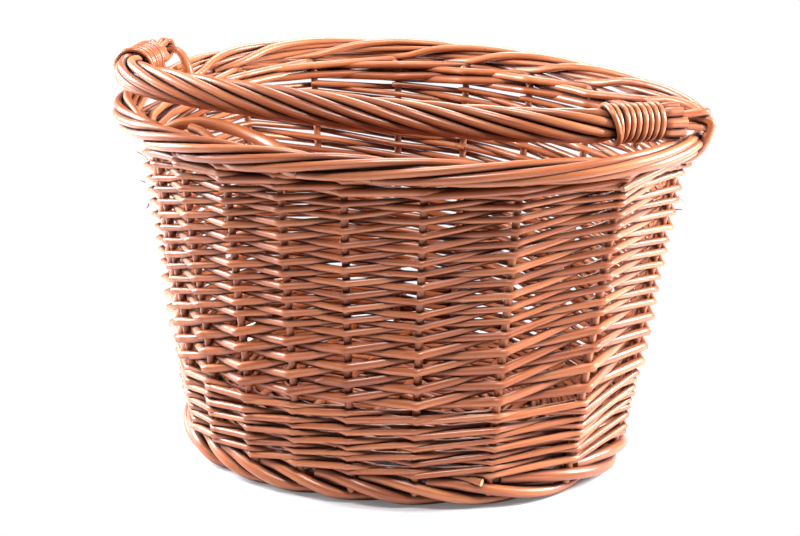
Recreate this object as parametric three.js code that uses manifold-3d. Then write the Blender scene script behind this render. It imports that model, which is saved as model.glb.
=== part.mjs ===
// Oval willow basket with one rope-twisted swing handle.
// Millimetres, +Z up, front towards -Y, long axis along X.
// The origin is on the floor, under the middle of the border's box.
import * as THREE from 'three';
import { NURBSCurve } from 'three/addons/curves/NURBSCurve.js';
import { mergeVertices } from 'three/addons/utils/BufferGeometryUtils.js';
import Module from 'manifold-3d';

const wasm = await Module();
wasm.setup();

// Driving dimensions
const RIM_HALF_LENGTH = 203;
const RIM_HALF_DEPTH = 159;
const BASE_HALF_LENGTH = 161;
const BASE_HALF_DEPTH = 132;
const RIM_HEIGHT = 267;
const OVAL_POWER = 2.13;
const EGG = 0.043;
const BASE_SHIFT_Y = -15;
const BASE_SHIFT_X = 3;
const GAP = 0.3;

const FOOT_HEIGHT = 23.7;
const FOOT_OUTSIDE = 9.6;
const FOOT_INSIDE = 16;
const FOOT_ROUND = 4.5;
const LOWER_WALE_TOP = 72.7;
const UPPER_WALE_HEIGHT = 10.4;
const WALL_STEPS = 52;

// The border is an oval tube outside the wall's middle; its top is lower than the rim
// that the wall's slope aims at, and towards the right end it gets thinner.
const BORDER_DROP = 13.4;
const BORDER_OFFSET = 10.3;
const BORDER_HALF_WIDTH = 10.7;
const BORDER_HALF_HEIGHT = 10;
const BORDER_THINNING = 1.3;
const BORDER_SIDES = 10;
const BORDER_Z = RIM_HEIGHT - BORDER_DROP;
const BORDER_LOW_Z = BORDER_Z - BORDER_HALF_HEIGHT;
const BORDER_TOP_Z = BORDER_Z + BORDER_HALF_HEIGHT;
const SIDE_WEAVE_TOP = BORDER_LOW_Z - UPPER_WALE_HEIGHT;

const STAKE_RADIUS = 3.15;
const STAKE_SIDES = 6;
const STAKE_FOOT_Z = 6;
const STAKE_TOP_Z = BORDER_LOW_Z - 1;
// Places of the stakes round the oval, as shares of its length from the right end.
const STAKE_SHARES = [
  0.01, 0.059, 0.107, 0.157, 0.2115, 0.2635, 0.316, 0.378, 0.434, 0.48,
  0.567, 0.627, 0.6585, 0.6955, 0.734, 0.7745, 0.8225, 0.878, 0.943,
];

// The rods of the wall pass each stake at this distance, and lie this far apart.
const WEAVER_ROOM = 0.7;
const COURSE_GAP = 0.45;
const WEAVER_WIDTH = 4.55;
const WEAVE_TURNS = 32;
const WALER_WIDTH = 5.15;
const WALE_TURNS = 8;
const WEAVE_HALF_THICKNESS = STAKE_RADIUS + WEAVER_ROOM + WEAVER_WIDTH;
const WALE_HALF_THICKNESS = STAKE_RADIUS + WEAVER_ROOM + WALER_WIDTH;
// The rods begin and end at this stake, on the far side.
const WEAVE_START = 5;

const BASE_THICKNESS = 15;
const BASE_EDGE_ROOM = 1.25;
const BASE_STICK_RADIUS = 3.25;
const STICK_SIDES = 8;
const LONG_STICK_Y = [-36, 0, 36];
const CROSS_STICK_X = [-92, -46, 0, 46, 92];

// The hinge line runs through the straight tops of both loops, a little askew so
// that each loop passes beside its end's stake. Its ends lie above the border's top.
const HINGE_OUTSIDE_RIM = 15;
const HINGE_SKEW = 6;
const HINGE_LIFT = { left: 11.9, right: 6.7 };
const HINGE_HALF_X = RIM_HALF_LENGTH + HINGE_OUTSIDE_RIM;
const HINGE_LEFT = new THREE.Vector3(-HINGE_HALF_X, HINGE_SKEW, BORDER_TOP_Z + HINGE_LIFT.left);
const HINGE_RIGHT = new THREE.Vector3(HINGE_HALF_X, -HINGE_SKEW, BORDER_TOP_Z + HINGE_LIFT.right);
// At rest the bow lies forward, raised a little. Its control points give how far they
// are in from that end, or as shares of half the hinge line, and how far in front.
const BOW_RAISED = THREE.MathUtils.degToRad(3.3);
const BOW_LEFT = [[7.1, 21.3], [13.6, 42.7], [19.6, 64], [25.1, 83], [43.1, 118]];
const BOW_MIDDLE = [[-0.293, 134], [0.303, 113]];
const BOW_RIGHT = [[92.1, 92], [60.1, 70], [45.1, 52.5], [30.1, 35], [15.1, 17.5]];
const BOW_STEPS = 40;
const CORE_RADIUS = 5.5;
const CORE_SIDES = 8;
const EYE_RADIUS = 8.4;
const EYE_WIDTH = 8;
const EYE_WALL = 2.2;
const EYE_SIDES = 20;
const BORE_SIDES = 16;
const LOOP_ROD_RADIUS = 3.25;
const LOOP_CORNER = 4.2;
const RUNNING_GAP = 0.35;

const ROPE_RADIUS = 12;
const ROPE_NECK_RADIUS = 9.8;
const ROPE_STUB_RADIUS = 11.4;
const ROPE_LOBES = 8;
const ROPE_LOBE_DEPTH = 1.6;
const ROPE_LAY = 152;
// How far from each hinge end the rope begins, and then its binding.
const ROPE_START = { left: 15, right: 24 };
const BINDING_START = { left: 47, right: 36 };
// The rope narrows between these distances before a binding, and swells after it.
const NARROWS_BEFORE = [9, 4];
const SWELLS_AFTER = [3, 14];

const BINDING_TURNS = 6.5;
const BINDING_PITCH = 4.85;
const BINDING_ROD_RADIUS = 2;
const BINDING_ROOM = 0.4;
const TURN_STEPS = 24;
const TURN_SIDES = 6;

// Materials
const willow = (color, roughness) =>
  new THREE.MeshStandardMaterial({ color, roughness, metalness: 0 });
const wallWillow = willow('#b8764f', 0.45);
const rodWillow = willow('#a9663f', 0.45);
const thickWillow = willow('#c48860', 0.4);
const handleWillow = willow('#bd7c55', 0.4);
const bindingWillow = willow('#a8603c', 0.45);

// The oval at a height: half sizes change evenly from base to rim.
const OUTLINE_POINTS = 720;
const outlines = new Map();

function outlineAt(z) {
  if (outlines.has(z)) {
    return outlines.get(z);
  }
  const rise = z / RIM_HEIGHT;
  const length = THREE.MathUtils.lerp(BASE_HALF_LENGTH, RIM_HALF_LENGTH, rise);
  const depth = THREE.MathUtils.lerp(BASE_HALF_DEPTH, RIM_HALF_DEPTH, rise);
  const shiftX = BASE_SHIFT_X * (1 - rise) - EGG * RIM_HALF_LENGTH;
  const shiftY = BASE_SHIFT_Y * (1 - rise);
  const points = [];
  for (let i = 0; i < OUTLINE_POINTS; i += 1) {
    const angle = (i / OUTLINE_POINTS) * 2 * Math.PI;
    const c = Math.cos(angle);
    const s = Math.sin(angle);
    const round = (Math.abs(c) ** OVAL_POWER + Math.abs(s) ** OVAL_POWER) ** (-1 / OVAL_POWER);
    const r = round * (1 + EGG * Math.cos(3 * angle));
    points.push(new THREE.Vector2(length * r * c + shiftX, depth * r * s + shiftY));
  }
  const travelled = [0];
  for (let i = 1; i <= OUTLINE_POINTS; i += 1) {
    travelled.push(travelled[i - 1] + points[i - 1].distanceTo(points[i % OUTLINE_POINTS]));
  }
  const outline = { points, travelled };
  outlines.set(z, outline);
  return outline;
}

// A point of the wall at a share of the way round, moved outwards by offset.
function wallPoint(share, offset, z) {
  const { points, travelled } = outlineAt(z);
  const goal = (((share % 1) + 1) % 1) * travelled[OUTLINE_POINTS];
  let i = 0;
  while (travelled[i + 1] < goal) {
    i += 1;
  }
  const from = points[i];
  const to = points[(i + 1) % OUTLINE_POINTS];
  const t = (goal - travelled[i]) / (travelled[i + 1] - travelled[i]);
  const before = points[(i + OUTLINE_POINTS - 3) % OUTLINE_POINTS];
  const after = points[(i + 4) % OUTLINE_POINTS];
  const along = after.clone().sub(before).normalize();
  return new THREE.Vector3(
    from.x + (to.x - from.x) * t + along.y * offset,
    from.y + (to.y - from.y) * t - along.x * offset,
    z,
  );
}

// Geometry from rings of points, joined ring to ring.
function loft(rings, { closedRound = false } = {}) {
  const size = rings[0].length;
  const positions = rings.flat().flatMap((p) => [p.x, p.y, p.z]);
  const index = [];
  const last = closedRound ? rings.length : rings.length - 1;
  for (let r = 0; r < last; r += 1) {
    const next = (r + 1) % rings.length;
    for (let k = 0; k < size; k += 1) {
      const a = r * size + k;
      const b = r * size + ((k + 1) % size);
      const c = next * size + k;
      const d = next * size + ((k + 1) % size);
      index.push(a, b, d, a, d, c);
    }
  }
  if (!closedRound) {
    capEnd(rings[0], 0, true, positions, index);
    capEnd(rings[rings.length - 1], (rings.length - 1) * size, false, positions, index);
  }
  return indexed(positions, index);
}

// A fan from the middle of an end ring closes it.
function capEnd(ring, start, atStart, positions, index) {
  const middle = ring.reduce((sum, p) => sum.add(p), new THREE.Vector3());
  middle.divideScalar(ring.length);
  const centre = positions.length / 3;
  positions.push(middle.x, middle.y, middle.z);
  for (let k = 0; k < ring.length; k += 1) {
    const a = start + k;
    const b = start + ((k + 1) % ring.length);
    index.push(centre, atStart ? b : a, atStart ? a : b);
  }
}

function indexed(positions, index) {
  const geometry = new THREE.BufferGeometry();
  geometry.setAttribute('position', new THREE.Float32BufferAttribute(positions, 3));
  geometry.setIndex(index);
  return geometry;
}

// Booleans
function solidOf(geometry) {
  const bare = geometry.clone();
  bare.deleteAttribute('normal');
  bare.deleteAttribute('uv');
  const merged = mergeVertices(bare, 1e-4);
  return new wasm.Manifold(new wasm.Mesh({
    numProp: 3,
    vertProperties: new Float32Array(merged.attributes.position.array),
    triVerts: new Uint32Array(merged.index.array),
  }));
}

function geometryOf(solid) {
  const mesh = solid.getMesh();
  return indexed(Array.from(mesh.vertProperties), Array.from(mesh.triVerts));
}

function cut(geometry, tools) {
  const solid = tools.reduce((left, tool) => left.subtract(solidOf(tool)), solidOf(geometry));
  return geometryOf(solid);
}

// A closed band round the oval: its section at a share is a list of [offset, z].
function band(sectionAt) {
  const rings = [];
  for (let i = 0; i < WALL_STEPS; i += 1) {
    const share = i / WALL_STEPS;
    rings.push(sectionAt(share).map(([offset, z]) => wallPoint(share, offset, z)).reverse());
  }
  return loft(rings, { closedRound: true });
}

// A straight round bar between two points.
function bar(from, to, radius, sides, spin = 0) {
  const axis = to.clone().sub(from).normalize();
  const helper = Math.abs(axis.z) > 0.7 ? new THREE.Vector3(1, 0, 0) : new THREE.Vector3(0, 0, 1);
  const u = helper.clone().cross(axis).normalize();
  const v = axis.clone().cross(u);
  const ring = (centre) => Array.from({ length: sides }, (_, k) => {
    const angle = ((k + spin) / sides) * 2 * Math.PI;
    return centre.clone().addScaledVector(u, radius * Math.cos(angle))
      .addScaledVector(v, radius * Math.sin(angle));
  });
  return loft([ring(from), ring(to)]);
}

// A hole's radius that leaves the gap at the flats of a many-sided bar.
const roomFor = (radius, sides) => radius + GAP / Math.cos(Math.PI / sides);

// Stakes run straight up the wall's middle, through the foot and both bands.
function stakeBar(share, radius, low, high) {
  const foot = wallPoint(share, 0, STAKE_FOOT_Z);
  const top = wallPoint(share, 0, STAKE_TOP_Z);
  const at = (z) => foot.clone().lerp(top, (z - STAKE_FOOT_Z) / (STAKE_TOP_Z - STAKE_FOOT_Z));
  return bar(at(low), at(high), radius, STAKE_SIDES, 0.5);
}

function stakeHoles(low, high) {
  return STAKE_SHARES.map((share) => stakeBar(share, roomFor(STAKE_RADIUS, STAKE_SIDES), low, high));
}

// Wall
function makeFoot() {
  const out = FOOT_OUTSIDE;
  const inside = -FOOT_INSIDE;
  const section = [
    [inside + FOOT_ROUND, 0], [out - FOOT_ROUND, 0],
    [out, FOOT_ROUND], [out, FOOT_HEIGHT - FOOT_ROUND],
    [out - FOOT_ROUND, FOOT_HEIGHT], [inside + FOOT_ROUND, FOOT_HEIGHT],
    [inside, FOOT_HEIGHT - FOOT_ROUND], [inside, FOOT_ROUND],
  ];
  return cut(band(() => section), stakeHoles(STAKE_FOOT_Z - GAP, FOOT_HEIGHT + 5));
}

// One long rod worked round and round between two heights, straight from stake to
// stake. isOutside says on which side of a stake it passes, by the stakes it has passed.
function wovenRod(low, high, turns, width, isOutside) {
  const pitch = (high - low + COURSE_GAP) / (turns + 1);
  const height = pitch - COURSE_GAP;
  const reach = STAKE_RADIUS + WEAVER_ROOM + width / 2;
  const count = turns * STAKE_SHARES.length;
  const corners = [[-0.5, 1], [0.5, 1], [0.5, 0], [-0.5, 0]];
  return loft(Array.from({ length: count + 1 }, (_, passed) => {
    const share = STAKE_SHARES[(passed + WEAVE_START) % STAKE_SHARES.length];
    const middle = isOutside(passed) ? reach : -reach;
    const lift = low + (passed / STAKE_SHARES.length) * pitch;
    return corners.map(([across, up]) => wallPoint(share, middle + across * width, lift + up * height));
  }));
}

// The side weave goes in front of one stake and behind the next.
const inFrontOfOne = (passed) => passed % 2 === 1;
// A wale's rods go in front of two stakes and behind the third.
const inFrontOfTwo = (passed) => passed % 3 > 0;

// The height of the border's underside at an offset from the wall's middle.
function borderUnderside(offset) {
  const across = (offset - BORDER_OFFSET) / BORDER_HALF_WIDTH;
  return BORDER_Z - BORDER_HALF_HEIGHT * Math.sqrt(1 - across * across);
}

// The band under the border carries it on its outer edge, and lets both handle loops through.
function makeUpperWale() {
  const half = WEAVE_HALF_THICKNESS;
  const low = SIDE_WEAVE_TOP + GAP;
  const seat = [half, half / 2].map((offset) => [offset, borderUnderside(offset) - 3 * GAP]);
  const section = [[-half, low], [half, low], ...seat, [-half, seat[1][1]]];
  const channels = [-1, 1].map((side) => {
    const at = loopPlace(side);
    const drop = loopDrop(side);
    return bar(at(LOOP_IN - 10, drop), at(LOOP_OUT + 10, drop), LOOP_ROD_RADIUS + RUNNING_GAP, 12);
  });
  return cut(band(() => section), [...stakeHoles(low - 5, BORDER_TOP_Z), ...channels]);
}

function borderSection(share) {
  const thinner = BORDER_THINNING * Math.max(0, Math.cos(share * 2 * Math.PI)) ** 2;
  return Array.from({ length: BORDER_SIDES }, (_, k) => {
    const angle = (k / BORDER_SIDES) * 2 * Math.PI;
    return [
      BORDER_OFFSET + thinner + (BORDER_HALF_WIDTH - thinner) * Math.cos(angle),
      BORDER_Z - thinner + (BORDER_HALF_HEIGHT - thinner) * Math.sin(angle),
    ];
  });
}

// Base: three long sticks lie under five cross sticks, with the weave round both.
const BASE_LOW = FOOT_HEIGHT + GAP;
const BASE_HIGH = BASE_LOW + BASE_THICKNESS;
const LONG_STICK_Z = BASE_LOW + BASE_STICK_RADIUS;
const CROSS_STICK_Z = BASE_HIGH - BASE_STICK_RADIUS;

function baseOutline(z) {
  const edge = -WALE_HALF_THICKNESS - BASE_EDGE_ROOM;
  return Array.from({ length: WALL_STEPS }, (_, i) => wallPoint(i / WALL_STEPS, edge, z));
}

// Where a straight line at one X or one Y leaves the base's outline.
function chord(fixed, value, free) {
  const edge = baseOutline(BASE_LOW);
  const hits = [];
  edge.forEach((p, i) => {
    const q = edge[(i + 1) % edge.length];
    if ((p[fixed] - value) * (q[fixed] - value) <= 0 && p[fixed] !== q[fixed]) {
      const t = (value - p[fixed]) / (q[fixed] - p[fixed]);
      hits.push(p[free] + (q[free] - p[free]) * t);
    }
  });
  return [Math.min(...hits), Math.max(...hits)];
}

function longStick(y, radius, reach) {
  const [low, high] = chord('y', y, 'x');
  return bar(
    new THREE.Vector3(low - reach, y, LONG_STICK_Z),
    new THREE.Vector3(high + reach, y, LONG_STICK_Z),
    radius, STICK_SIDES, 0.5,
  );
}

function crossStick(x, radius, reach) {
  const [low, high] = chord('x', x, 'y');
  return bar(
    new THREE.Vector3(x, low - reach, CROSS_STICK_Z),
    new THREE.Vector3(x, high + reach, CROSS_STICK_Z),
    radius, STICK_SIDES, 0.5,
  );
}

function makeBaseWeave() {
  const plate = loft([baseOutline(BASE_LOW), baseOutline(BASE_HIGH)]);
  const room = roomFor(BASE_STICK_RADIUS, STICK_SIDES);
  const grooves = [
    ...LONG_STICK_Y.map((y) => longStick(y, room, 10)),
    ...CROSS_STICK_X.map((x) => crossStick(x, room, 10)),
  ];
  return cut(plate, grooves);
}

// The hinge line's own directions: along it, level and forward, and up.
const hingeMiddle = HINGE_LEFT.clone().lerp(HINGE_RIGHT, 0.5);
const hingeAlong = HINGE_RIGHT.clone().sub(HINGE_LEFT).normalize();
const hingeForward = hingeAlong.clone().cross(new THREE.Vector3(0, 0, 1)).normalize();
const hingeUp = hingeForward.clone().cross(hingeAlong);
const HINGE_HALF = HINGE_LEFT.distanceTo(HINGE_RIGHT) / 2;

// Handle loops: a rod ring round the border at each end, with a straight top.
// Reaches are measured along the hinge line from its middle, drops down from it.
const LOOP_LOW_Z = BORDER_LOW_Z - 2 * RUNNING_GAP - LOOP_ROD_RADIUS;
const LOOP_IN = wallPoint(0, -WEAVE_HALF_THICKNESS, LOOP_LOW_Z).x - RUNNING_GAP - LOOP_ROD_RADIUS;
const LOOP_OUT = HINGE_HALF + EYE_WIDTH / 2 + RUNNING_GAP + LOOP_CORNER;

function loopPlace(side) {
  return (reach, drop) => hingeMiddle.clone().addScaledVector(hingeAlong, side * reach)
    .addScaledVector(hingeUp, -drop);
}

function loopDrop(side) {
  return (side < 0 ? HINGE_LEFT.z : HINGE_RIGHT.z) - LOOP_LOW_Z;
}

function makeLoop(side) {
  const at = loopPlace(side);
  const low = loopDrop(side) - LOOP_CORNER;
  const corners = [
    [LOOP_OUT - LOOP_CORNER, low], [LOOP_OUT - LOOP_CORNER, LOOP_CORNER],
    [LOOP_IN + LOOP_CORNER, LOOP_CORNER], [LOOP_IN + LOOP_CORNER, low],
  ];
  const cornerSteps = 4;
  const rodSides = 8;
  const rings = [];
  corners.forEach(([reach, drop], corner) => {
    for (let i = 0; i <= cornerSteps; i += 1) {
      const angle = (corner - 1 + i / cornerSteps) * (Math.PI / 2);
      const out = hingeAlong.clone().multiplyScalar(side * Math.cos(angle))
        .addScaledVector(hingeUp, Math.sin(angle));
      const middle = at(reach, drop).addScaledVector(out, LOOP_CORNER);
      rings.push(Array.from({ length: rodSides }, (_, k) => {
        const round = ((k + 0.5) / rodSides) * 2 * Math.PI * side;
        return middle.clone().addScaledVector(out, LOOP_ROD_RADIUS * Math.cos(round))
          .addScaledVector(hingeForward, -LOOP_ROD_RADIUS * Math.sin(round));
      }));
    }
  });
  return loft(rings, { closedRound: true });
}

// The handle's bow is a smooth curve in one plane, measured from its left end.
const bowForward = hingeForward.clone().multiplyScalar(Math.cos(BOW_RAISED))
  .addScaledVector(hingeUp, Math.sin(BOW_RAISED));
const bowUp = bowForward.clone().cross(hingeAlong);
const bowCurve = (() => {
  const places = [
    [-HINGE_HALF, 0],
    ...BOW_LEFT.map(([inward, forward]) => [inward - HINGE_HALF, forward]),
    ...BOW_MIDDLE.map(([share, forward]) => [share * HINGE_HALF, forward]),
    ...BOW_RIGHT.map(([inward, forward]) => [HINGE_HALF - inward, forward]),
    [HINGE_HALF, 0],
  ];
  const controls = places.map(([along, forward]) => {
    const p = hingeMiddle.clone().addScaledVector(hingeAlong, along)
      .addScaledVector(bowForward, forward);
    return new THREE.Vector4(p.x, p.y, p.z, 1);
  });
  const spans = controls.length - 3;
  const knots = [0, 0, 0];
  for (let i = 0; i <= spans; i += 1) {
    knots.push(i / spans);
  }
  knots.push(1, 1, 1);
  const curve = new NURBSCurve(3, knots, controls);
  curve.arcLengthDivisions = 800;
  return curve;
})();
const BOW_LENGTH = bowCurve.getLength();

// The bow's middle and its two cross directions at a distance from the left end.
function bowFrame(distance) {
  const share = THREE.MathUtils.clamp(distance / BOW_LENGTH, 0, 1);
  const middle = bowCurve.getPointAt(share);
  const along = bowCurve.getTangentAt(share).normalize();
  return { middle, inward: bowUp.clone().cross(along).normalize() };
}

function bowRing(distance, sides, radiusAt, spin) {
  const { middle, inward } = bowFrame(distance);
  return Array.from({ length: sides }, (_, k) => {
    const angle = ((k + spin) / sides) * 2 * Math.PI;
    const radius = radiusAt(k);
    return middle.clone().addScaledVector(inward, radius * Math.cos(angle))
      .addScaledVector(bowUp, radius * Math.sin(angle));
  });
}

// A plain rod along the bow, from the wall of one eye to the wall of the other.
const EYE_BORE_RADIUS = LOOP_ROD_RADIUS + RUNNING_GAP;

function bowRod(radius) {
  const start = EYE_BORE_RADIUS + EYE_WALL;
  const step = (BOW_LENGTH - 2 * start) / BOW_STEPS;
  return loft(Array.from(
    { length: BOW_STEPS + 1 },
    (_, i) => bowRing(start + i * step, CORE_SIDES, () => radius, 0.5),
  ));
}

// The core rod: one rod along the bow with an eye turned at each end.
function makeCore() {
  let solid = solidOf(bowRod(CORE_RADIUS));
  for (const hinge of [HINGE_LEFT, HINGE_RIGHT]) {
    const eyeEnd = (reach) => hinge.clone().addScaledVector(hingeAlong, reach);
    const eye = bar(eyeEnd(-EYE_WIDTH / 2), eyeEnd(EYE_WIDTH / 2), EYE_RADIUS, EYE_SIDES);
    const boreCut = bar(eyeEnd(-3 * EYE_WIDTH), eyeEnd(3 * EYE_WIDTH), EYE_BORE_RADIUS, BORE_SIDES);
    solid = solid.add(solidOf(eye)).subtract(solidOf(boreCut));
  }
  return geometryOf(solid);
}

// The rope's thickness: full along the grip, drawn in under each binding.
const BINDING_LENGTH = BINDING_TURNS * BINDING_PITCH;

function ropeRadius(distance) {
  const side = distance < BOW_LENGTH / 2 ? 'left' : 'right';
  const fromEnd = side === 'left' ? distance : BOW_LENGTH - distance;
  const binding = BINDING_START[side];
  const [narrowFrom, narrowTo] = NARROWS_BEFORE.map((before) => binding - before);
  const drawnIn = THREE.MathUtils.smoothstep(fromEnd, narrowFrom, narrowTo);
  const neckEnd = binding + BINDING_LENGTH;
  const [swellFrom, swellTo] = SWELLS_AFTER.map((after) => neckEnd + after);
  const grip = THREE.MathUtils.smoothstep(fromEnd, swellFrom, swellTo);
  const neck = THREE.MathUtils.lerp(ROPE_STUB_RADIUS, ROPE_NECK_RADIUS, drawnIn);
  return THREE.MathUtils.lerp(neck, ROPE_RADIUS, grip);
}

// Sections of the rope lie closer where its thickness changes.
function ropeDistances() {
  const nearSections = (side) => {
    const binding = BINDING_START[side];
    const neckEnd = binding + BINDING_LENGTH;
    return [
      ROPE_START[side],
      ...NARROWS_BEFORE.map((before) => binding - before),
      binding + BINDING_LENGTH / 2,
      ...SWELLS_AFTER.map((after) => neckEnd + after),
    ];
  };
  const left = nearSections('left');
  const right = nearSections('right').map((distance) => BOW_LENGTH - distance).reverse();
  const low = left[left.length - 1];
  const high = right[0];
  const steps = BOW_STEPS - 10;
  const grip = Array.from({ length: steps - 1 }, (_, i) => low + ((high - low) * (i + 1)) / steps);
  return [...left, ...grip, ...right];
}

// The rods laid round the core: one sleeve whose eight ridges turn with the lay.
function makeRope() {
  const outerSides = ROPE_LOBES * 3;
  const distances = ropeDistances();
  const outer = loft(distances.map((distance) => {
    const turn = (distance / ROPE_LAY) * outerSides;
    const full = ropeRadius(distance);
    const radiusAt = (k) => (k % 3 === 0 ? full - ROPE_LOBE_DEPTH : full);
    return bowRing(distance, outerSides, radiusAt, turn);
  }));
  return cut(outer, [bowRod(roomFor(CORE_RADIUS, CORE_SIDES))]);
}

// One thin rod wound round the neck of the rope; both of its ends run straight.
function bindingTurns(startAt, direction) {
  const radius = ROPE_NECK_RADIUS + BINDING_ROOM + BINDING_ROD_RADIUS;
  const firstAngle = Math.PI / 3;
  const count = BINDING_TURNS * TURN_STEPS;
  const turns = Array.from({ length: count + 1 }, (_, i) => {
    const { middle, inward } = bowFrame(startAt + direction * (i / TURN_STEPS) * BINDING_PITCH);
    const angle = (i / TURN_STEPS) * 2 * Math.PI + firstAngle;
    const point = middle.clone().addScaledVector(inward, radius * Math.cos(angle))
      .addScaledVector(bowUp, radius * Math.sin(angle));
    return { point, middle };
  });
  const tail = (end, before) => {
    const onward = end.point.clone().sub(before.point).setLength(2 * BINDING_ROD_RADIUS);
    return { point: end.point.clone().add(onward), middle: end.middle };
  };
  return [tail(turns[0], turns[1]), ...turns, tail(turns[count], turns[count - 1])];
}

// Least clear distance between one turn and the others.
function leastGap(turns) {
  let least = Infinity;
  for (let i = 0; i < turns.length; i += 1) {
    for (let j = i + TURN_STEPS / 2; j < turns.length; j += 1) {
      least = Math.min(least, turns[i].point.distanceTo(turns[j].point));
    }
  }
  return least - 2 * BINDING_ROD_RADIUS;
}

function makeBinding(startAt, direction) {
  const turns = bindingTurns(startAt, direction);
  const rings = turns.map(({ point, middle }, i) => {
    const before = turns[Math.max(i - 1, 0)].point;
    const after = turns[Math.min(i + 1, turns.length - 1)].point;
    const along = after.clone().sub(before).normalize();
    const out = point.clone().sub(middle);
    out.addScaledVector(along, -out.dot(along)).normalize();
    const across = along.clone().cross(out);
    return Array.from({ length: TURN_SIDES }, (_, k) => {
      const angle = (k / TURN_SIDES) * 2 * Math.PI;
      return point.clone().addScaledVector(out, BINDING_ROD_RADIUS * Math.cos(angle))
        .addScaledVector(across, BINDING_ROD_RADIUS * Math.sin(angle));
    });
  });
  return { geometry: loft(rings), gap: leastGap(turns) };
}

// Assembly
const basket = new THREE.Group();
const handle = new THREE.Group();
basket.add(handle);

function addPiece(parent, name, geometry, material) {
  const flat = geometry.index ? geometry.toNonIndexed() : geometry;
  flat.computeVertexNormals();
  const mesh = new THREE.Mesh(mergeVertices(flat, 1e-5), material);
  mesh.name = name;
  parent.add(mesh);
}

addPiece(basket, 'foot_border', makeFoot(), thickWillow);
addPiece(
  basket,
  'lower_wale',
  wovenRod(FOOT_HEIGHT + GAP, LOWER_WALE_TOP, WALE_TURNS, WALER_WIDTH, inFrontOfTwo),
  wallWillow,
);
addPiece(
  basket,
  'side_weave',
  wovenRod(LOWER_WALE_TOP + GAP, SIDE_WEAVE_TOP, WEAVE_TURNS, WEAVER_WIDTH, inFrontOfOne),
  wallWillow,
);
addPiece(basket, 'upper_wale', makeUpperWale(), wallWillow);
addPiece(basket, 'top_border', band(borderSection), thickWillow);
addPiece(basket, 'base_weave', makeBaseWeave(), wallWillow);
LONG_STICK_Y.forEach((y, i) => {
  addPiece(basket, `base_stick_long_${i + 1}`, longStick(y, BASE_STICK_RADIUS, -0.6), rodWillow);
});
CROSS_STICK_X.forEach((x, i) => {
  addPiece(basket, `base_stick_cross_${i + 1}`, crossStick(x, BASE_STICK_RADIUS, -0.6), rodWillow);
});
STAKE_SHARES.forEach((share, i) => {
  const name = `stake_${String(i + 1).padStart(2, '0')}`;
  addPiece(basket, name, stakeBar(share, STAKE_RADIUS, STAKE_FOOT_Z, STAKE_TOP_Z), rodWillow);
});
addPiece(basket, 'handle_loop_left', makeLoop(-1), handleWillow);
addPiece(basket, 'handle_loop_right', makeLoop(1), handleWillow);
addPiece(handle, 'handle_core', makeCore(), handleWillow);
addPiece(handle, 'handle_rope', makeRope(), handleWillow);

const bindings = {
  left: makeBinding(BINDING_START.left, 1),
  right: makeBinding(BOW_LENGTH - BINDING_START.right, -1),
};
for (const [side, { geometry, gap }] of Object.entries(bindings)) {
  addPiece(handle, `handle_binding_${side}`, geometry, bindingWillow);
  console.log(`least gap between turns of the ${side} binding: ${gap.toFixed(2)} mm`);
}

export default basket;
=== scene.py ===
# An oval willow basket with a roped swing handle, folded forward onto its border.
# Every rod of the weave is laid by itself; sizes are in millimetres unless said.
import math

import bpy
import numpy as np
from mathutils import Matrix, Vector


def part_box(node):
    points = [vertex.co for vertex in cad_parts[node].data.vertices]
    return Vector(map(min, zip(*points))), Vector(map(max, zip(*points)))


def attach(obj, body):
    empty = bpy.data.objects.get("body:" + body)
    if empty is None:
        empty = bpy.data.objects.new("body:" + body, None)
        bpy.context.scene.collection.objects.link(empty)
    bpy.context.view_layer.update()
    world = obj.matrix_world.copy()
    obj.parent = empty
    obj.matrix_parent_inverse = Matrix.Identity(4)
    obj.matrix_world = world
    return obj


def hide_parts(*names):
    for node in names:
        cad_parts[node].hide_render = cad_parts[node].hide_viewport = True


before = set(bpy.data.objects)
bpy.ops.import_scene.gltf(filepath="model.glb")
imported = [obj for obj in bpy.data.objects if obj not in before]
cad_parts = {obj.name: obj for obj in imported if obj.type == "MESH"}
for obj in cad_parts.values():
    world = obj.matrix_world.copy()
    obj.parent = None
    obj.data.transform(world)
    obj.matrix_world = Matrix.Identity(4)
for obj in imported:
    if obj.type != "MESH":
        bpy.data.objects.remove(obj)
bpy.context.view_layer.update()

# Camera
# The basket was photographed from 1.4 m away and a little above, with its narrower
# right end turned towards the lens. The fitted camera is turned back to the frame here.
MM = 0.001
PICTURE_WIDTH_PX = 800
FOCAL_LENGTH_PX = 1855.6
SENSOR_WIDTH = 36.0
CAMERA_DISTANCE = 1415.3
CAMERA_DOWN = math.radians(19.6)
BASKET_TURN = math.radians(24.9)
LOOK_AT = (-3.7, 0.0, 125.9)
# How far the middle of the fitted plan lies to the right of the frame's middle.
PLAN_SHIFT = 8.65


def studio(right, away, up):
    """A place given as the camera sees it: to its right, away from it, and up."""
    c, s = math.cos(BASKET_TURN), math.sin(BASKET_TURN)
    return (
        (right * c - away * s - PLAN_SHIFT) * MM,
        (right * s + away * c) * MM,
        up * MM,
    )


def aim(thing, target):
    """Turns a lamp or camera, which looks along its own -Z, towards a place."""
    way = Vector(target) - Vector(thing.location)
    thing.rotation_euler = way.to_track_quat("-Z", "Y").to_euler()


lens = bpy.data.cameras.new("camera")
lens.sensor_width = SENSOR_WIDTH
lens.lens = SENSOR_WIDTH * FOCAL_LENGTH_PX / PICTURE_WIDTH_PX
camera = bpy.data.objects.new("camera", lens)
bpy.context.scene.collection.objects.link(camera)
camera.location = studio(
    LOOK_AT[0],
    LOOK_AT[1] - CAMERA_DISTANCE * math.cos(CAMERA_DOWN),
    LOOK_AT[2] + CAMERA_DISTANCE * math.sin(CAMERA_DOWN),
)
aim(camera, studio(*LOOK_AT))
bpy.context.scene.camera = camera

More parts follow.
